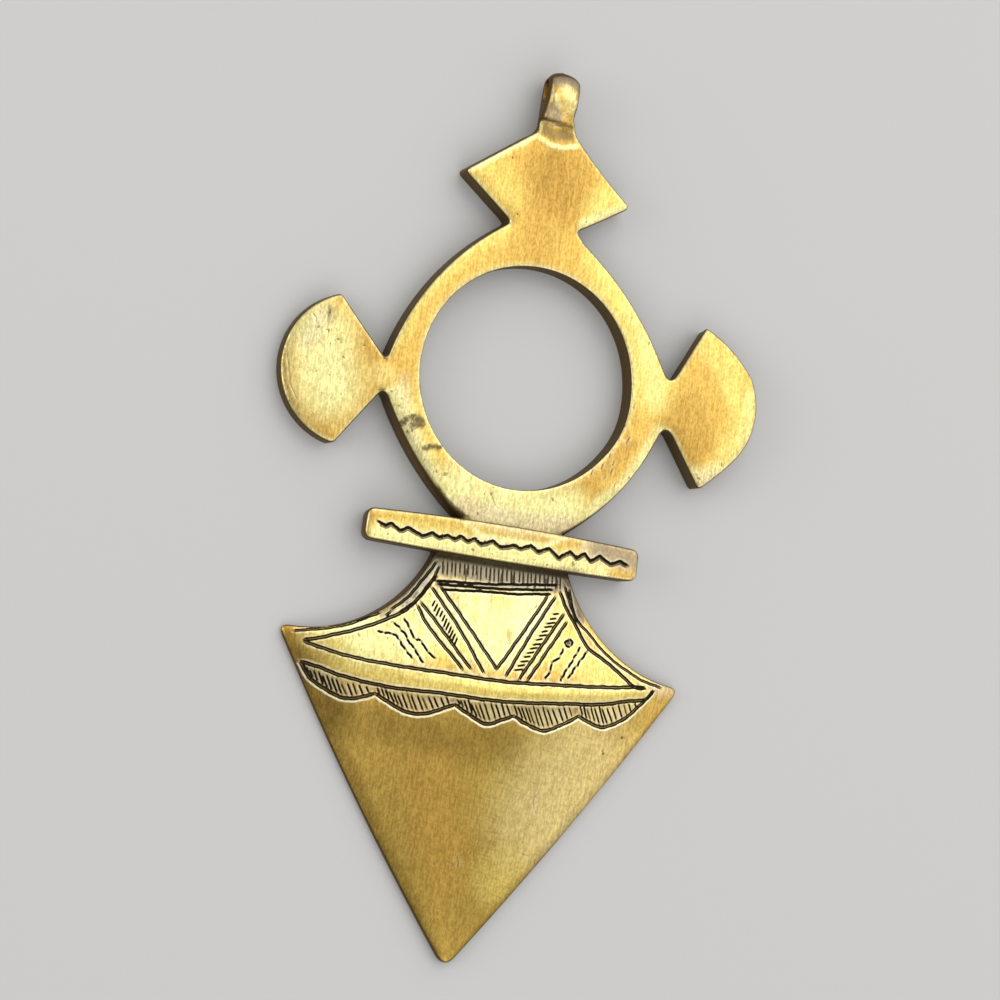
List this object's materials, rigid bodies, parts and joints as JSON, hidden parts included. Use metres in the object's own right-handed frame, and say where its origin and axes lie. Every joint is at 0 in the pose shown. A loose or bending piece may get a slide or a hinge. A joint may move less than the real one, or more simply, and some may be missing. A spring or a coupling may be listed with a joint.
{
  "type": "cross pendant",
  "caption": "Flat cast cross pendant: a ring with fan-shaped paddles, a winged head with a cord loop, a cross bar and a broad engraved blade.",
  "frame": {"origin": "on the flat back, under the middle of the outline", "axes": "+Y along the pendant towards its loop, +Z out of its engraved front"},
  "size_m": [0.054, 0.096, 0.0045],
  "materials": {
    "brass": "aged satin, brushed lengthwise, dark in the grooves"
  },
  "bodies": {
    "root": {"cross_pendant": "brass"}
  },
  "joints": []
}
